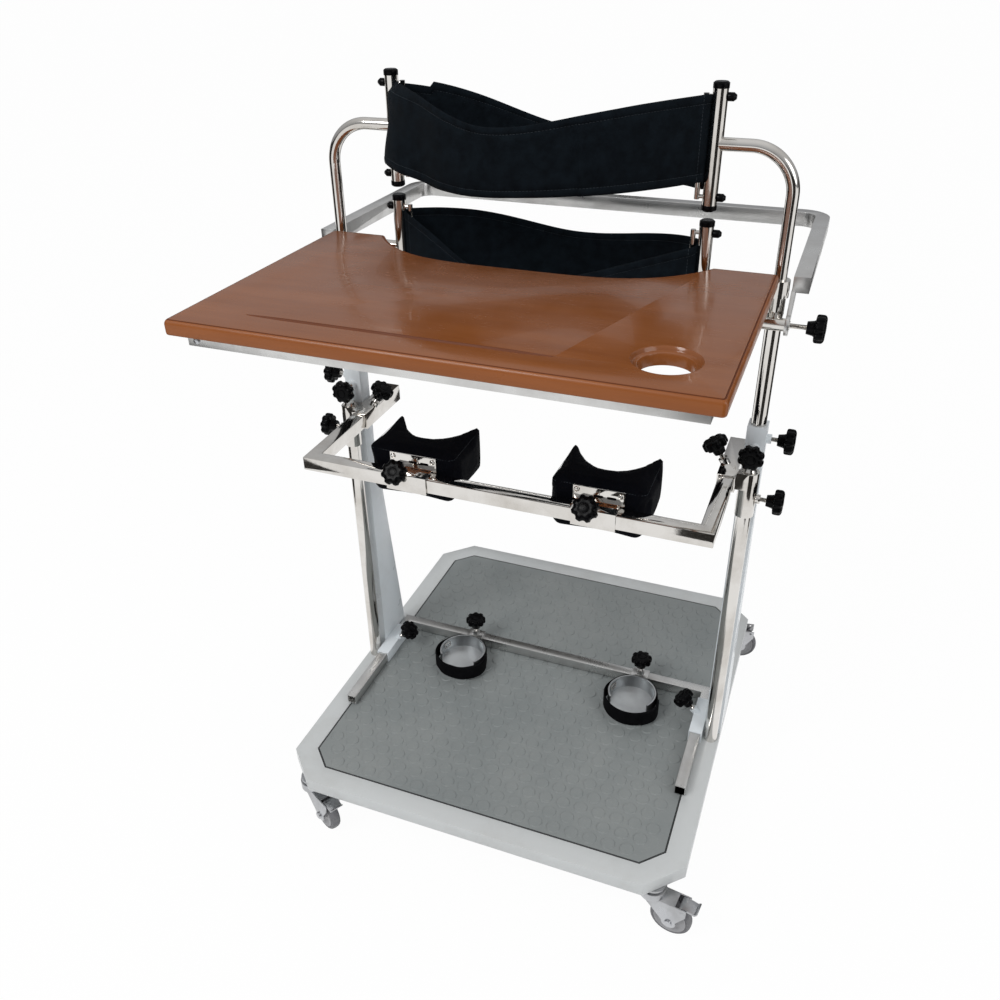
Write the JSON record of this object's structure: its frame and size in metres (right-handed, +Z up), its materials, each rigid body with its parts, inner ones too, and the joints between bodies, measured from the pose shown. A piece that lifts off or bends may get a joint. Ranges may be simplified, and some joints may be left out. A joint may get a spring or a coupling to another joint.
{
  "type": "standing frame",
  "caption": "Wheeled adult standing frame with a tray on telescopic side masts, torso belts, a swing-up rear bar, sliding knee pads and heel cups, each locked by star knobs",
  "frame": {"origin": "on the floor, in the middle of the overall outline", "axes": "+X is right as seen from the front, +Y is the rear, where the user steps in, +Z is up"},
  "size_m": [0.904, 0.916, 1.333],
  "materials": {
    "white_paint": "gloss",
    "chrome": "polished",
    "satin_steel": "satin",
    "zinc": "zinc plated",
    "mat": "matte, with round studs",
    "wheel": "matte",
    "black_plastic": "satin",
    "belt": "woven",
    "tray": "gloss laminate",
    "pad": "woven",
    "grey_paint": "satin",
    "strap": "webbing"
  },
  "bodies": {
    "base": {"base_frame": "white_paint", "floor_mat": "mat", "left_post": "white_paint", "right_post": "white_paint", "left_guide_tube": "chrome", "right_guide_tube": "chrome", "caster_mounts": "zinc"},
    "masts": {"mast_tubes": "chrome", "hip_arms": "chrome", "hip_belt_rods": "chrome", "hip_post_caps": "black_plastic", "hip_belt": "belt", "tray_board": "tray", "tray_frame": "satin_steel"},
    "rear_bar": {"rear_bar": "chrome"},
    "chest_support": {"left_gooseneck": "chrome", "right_gooseneck": "chrome", "chest_belt_rods": "chrome", "chest_post_caps": "black_plastic", "chest_belt": "belt"},
    "knee_carriage": {"knee_sliders": "chrome"},
    "knee_bar": {"knee_bar": "chrome"},
    "left_knee_block": {"left_knee_bracket": "chrome", "left_knee_pad": "pad"},
    "right_knee_block": {"right_knee_bracket": "chrome", "right_knee_pad": "pad"},
    "foot_bar": {"foot_bar": "satin_steel"},
    "left_heel": {"left_heel_clamp": "satin_steel", "left_heel_cup": "grey_paint", "left_heel_strap": "strap"},
    "right_heel": {"right_heel_clamp": "satin_steel", "right_heel_cup": "grey_paint", "right_heel_strap": "strap"},
    "front_left_caster": {"front_left_caster_fork": "zinc"},
    "front_left_wheel": {"front_left_wheel": "wheel"},
    "front_left_brake": {"front_left_brake_pedal": "zinc"},
    "front_right_caster": {"front_right_caster_fork": "zinc"},
    "front_right_wheel": {"front_right_wheel": "wheel"},
    "front_right_brake": {"front_right_brake_pedal": "zinc"},
    "rear_left_caster": {"rear_left_caster_fork": "zinc"},
    "rear_left_wheel": {"rear_left_wheel": "wheel"},
    "rear_right_caster": {"rear_right_caster_fork": "zinc"},
    "rear_right_wheel": {"rear_right_wheel": "wheel"},
    "left_mast_side_knob": {"left_mast_side_knob": "black_plastic"},
    "right_mast_side_knob": {"right_mast_side_knob": "black_plastic"},
    "left_mast_front_knob": {"left_mast_front_knob": "black_plastic"},
    "right_mast_front_knob": {"right_mast_front_knob": "black_plastic"},
    "left_slider_knob": {"left_slider_knob": "black_plastic"},
    "right_slider_knob": {"right_slider_knob": "black_plastic"},
    "left_knee_socket_knob": {"left_knee_socket_knob": "black_plastic"},
    "right_knee_socket_knob": {"right_knee_socket_knob": "black_plastic"},
    "left_rear_bar_knob": {"left_rear_bar_knob": "black_plastic"},
    "right_rear_bar_knob": {"right_rear_bar_knob": "black_plastic"},
    "left_knee_block_knob": {"left_knee_block_knob": "black_plastic"},
    "right_knee_block_knob": {"right_knee_block_knob": "black_plastic"},
    "left_heel_knob": {"left_heel_knob": "black_plastic"},
    "right_heel_knob": {"right_heel_knob": "black_plastic"},
    "left_foot_rail_knob": {"left_foot_rail_knob": "black_plastic"},
    "right_foot_rail_knob": {"right_foot_rail_knob": "black_plastic"}
  },
  "joints": [
    {"name": "mast_slide", "type": "slide", "parent": "base", "child": "masts", "axis": [0, 0, 1], "range_m": [-0.12, 0.12]},
    {"name": "chest_slide", "type": "slide", "parent": "masts", "child": "chest_support", "axis": [0, 0, 1], "range_m": [-0.01, 0.06]},
    {"name": "rear_bar_swing", "type": "hinge", "parent": "masts", "child": "rear_bar", "pos_m": [0, 0.0035, 1.001], "axis": [1, 0, 0], "range_deg": [0, 100]},
    {"name": "knee_height", "type": "slide", "parent": "base", "child": "knee_carriage", "axis": [0, 0, 1], "range_m": [-0.22, 0]},
    {"name": "knee_bar_reach", "type": "slide", "parent": "knee_carriage", "child": "knee_bar", "axis": [0, 1, 0], "range_m": [-0.06, 0.06]},
    {"name": "left_knee_block_slide", "type": "slide", "parent": "knee_bar", "child": "left_knee_block", "axis": [1, 0, 0], "range_m": [-0.06, 0.06]},
    {"name": "right_knee_block_slide", "type": "slide", "parent": "knee_bar", "child": "right_knee_block", "axis": [1, 0, 0], "range_m": [-0.06, 0.045]},
    {"name": "foot_bar_reach", "type": "slide", "parent": "base", "child": "foot_bar", "axis": [0, 1, 0], "range_m": [-0.015, 0.09]},
    {"name": "left_heel_slide", "type": "slide", "parent": "foot_bar", "child": "left_heel", "axis": [1, 0, 0], "range_m": [-0.05, 0.09]},
    {"name": "right_heel_slide", "type": "slide", "parent": "foot_bar", "child": "right_heel", "axis": [1, 0, 0], "range_m": [-0.09, 0.03]},
    {"name": "front_left_swivel", "type": "hinge", "parent": "base", "child": "front_left_caster", "pos_m": [-0.34, -0.348, 0.09], "axis": [0, 0, 1], "continuous": true},
    {"name": "front_left_spin", "type": "hinge", "parent": "front_left_caster", "child": "front_left_wheel", "pos_m": [-0.30645, -0.36584, 0.0375], "axis": [0.4695, 0.8829, 0], "continuous": true},
    {"name": "front_left_brake_press", "type": "hinge", "parent": "front_left_caster", "child": "front_left_brake", "pos_m": [-0.28879, -0.37523, 0.079], "axis": [0.4695, 0.8829, 0], "range_deg": [0, 25]},
    {"name": "front_right_swivel", "type": "hinge", "parent": "base", "child": "front_right_caster", "pos_m": [0.34, -0.348, 0.09], "axis": [0, 0, 1], "continuous": true},
    {"name": "front_right_spin", "type": "hinge", "parent": "front_right_caster", "child": "front_right_wheel", "pos_m": [0.37763, -0.35329, 0.0375], "axis": [0.1392, 0.9903, 0], "continuous": true},
    {"name": "front_right_brake_press", "type": "hinge", "parent": "front_right_caster", "child": "front_right_brake", "pos_m": [0.39744, -0.35607, 0.079], "axis": [0.1392, 0.9903, 0], "range_deg": [0, 25]},
    {"name": "rear_left_swivel", "type": "hinge", "parent": "base", "child": "rear_left_caster", "pos_m": [-0.34, 0.422, 0.09], "axis": [0, 0, 1], "continuous": true},
    {"name": "rear_left_spin", "type": "hinge", "parent": "rear_left_caster", "child": "rear_left_wheel", "pos_m": [-0.37763, 0.42729, 0.0375], "axis": [-0.1392, -0.9903, 0], "continuous": true},
    {"name": "rear_right_swivel", "type": "hinge", "parent": "base", "child": "rear_right_caster", "pos_m": [0.34, 0.422, 0.09], "axis": [0, 0, 1], "continuous": true},
    {"name": "rear_right_spin", "type": "hinge", "parent": "rear_right_caster", "child": "rear_right_wheel", "pos_m": [0.37763, 0.42729, 0.0375], "axis": [-0.1392, 0.9903, 0], "continuous": true},
    {"name": "left_mast_side_knob_turn", "type": "hinge", "parent": "base", "child": "left_mast_side_knob", "pos_m": [-0.39, 0.026, 0.796], "axis": [-1, 0, 0], "range_deg": [0, 180]},
    {"name": "right_mast_side_knob_turn", "type": "hinge", "parent": "base", "child": "right_mast_side_knob", "pos_m": [0.39, 0.026, 0.796], "axis": [1, 0, 0], "range_deg": [0, 180]},
    {"name": "left_mast_front_knob_turn", "type": "hinge", "parent": "base", "child": "left_mast_front_knob", "pos_m": [-0.374, 0.01, 0.784], "axis": [0, -1, 0], "range_deg": [0, 180]},
    {"name": "right_mast_front_knob_turn", "type": "hinge", "parent": "base", "child": "right_mast_front_knob", "pos_m": [0.374, 0.01, 0.784], "axis": [0, -1, 0], "range_deg": [0, 180]},
    {"name": "left_slider_knob_turn", "type": "hinge", "parent": "knee_carriage", "child": "left_slider_knob", "pos_m": [-0.38908, -0.0085, 0.6995], "axis": [-1, 0, 0], "range_deg": [0, 180]},
    {"name": "right_slider_knob_turn", "type": "hinge", "parent": "knee_carriage", "child": "right_slider_knob", "pos_m": [0.38908, -0.0085, 0.6995], "axis": [1, 0, 0], "range_deg": [0, 180]},
    {"name": "left_knee_socket_knob_turn", "type": "hinge", "parent": "knee_carriage", "child": "left_knee_socket_knob", "pos_m": [-0.34, 0.0075, 0.735], "axis": [0.5299, 0, 0.848], "range_deg": [0, 180]},
    {"name": "right_knee_socket_knob_turn", "type": "hinge", "parent": "knee_carriage", "child": "right_knee_socket_knob", "pos_m": [0.34, 0.0075, 0.735], "axis": [-0.5299, 0, 0.848], "range_deg": [0, 180]},
    {"name": "left_rear_bar_knob_turn", "type": "hinge", "parent": "masts", "child": "left_rear_bar_knob", "pos_m": [-0.4, 0.0035, 1.001], "axis": [-1, 0, 0], "range_deg": [0, 180]},
    {"name": "right_rear_bar_knob_turn", "type": "hinge", "parent": "masts", "child": "right_rear_bar_knob", "pos_m": [0.4, 0.0035, 1.001], "axis": [1, 0, 0], "range_deg": [0, 180]},
    {"name": "left_knee_block_knob_turn", "type": "hinge", "parent": "left_knee_block", "child": "left_knee_block_knob", "pos_m": [-0.16, -0.2025, 0.735], "axis": [0, -0.766, 0.6428], "range_deg": [0, 180]},
    {"name": "right_knee_block_knob_turn", "type": "hinge", "parent": "right_knee_block", "child": "right_knee_block_knob", "pos_m": [0.161, -0.2025, 0.735], "axis": [0, -0.766, 0.6428], "range_deg": [0, 180]},
    {"name": "left_heel_knob_turn", "type": "hinge", "parent": "left_heel", "child": "left_heel_knob", "pos_m": [-0.176, 0.102, 0.1606], "axis": [0, 0, 1], "range_deg": [0, 180]},
    {"name": "right_heel_knob_turn", "type": "hinge", "parent": "right_heel", "child": "right_heel_knob", "pos_m": [0.203, 0.102, 0.1606], "axis": [0, 0, 1], "range_deg": [0, 180]},
    {"name": "left_foot_rail_knob_turn", "type": "hinge", "parent": "base", "child": "left_foot_rail_knob", "pos_m": [-0.3452, 0.032, 0.1478], "axis": [0.7071, 0, 0.7071], "range_deg": [0, 180]},
    {"name": "right_foot_rail_knob_turn", "type": "hinge", "parent": "base", "child": "right_foot_rail_knob", "pos_m": [0.3452, 0.032, 0.1478], "axis": [-0.7071, 0, 0.7071], "range_deg": [0, 180]}
  ]
}
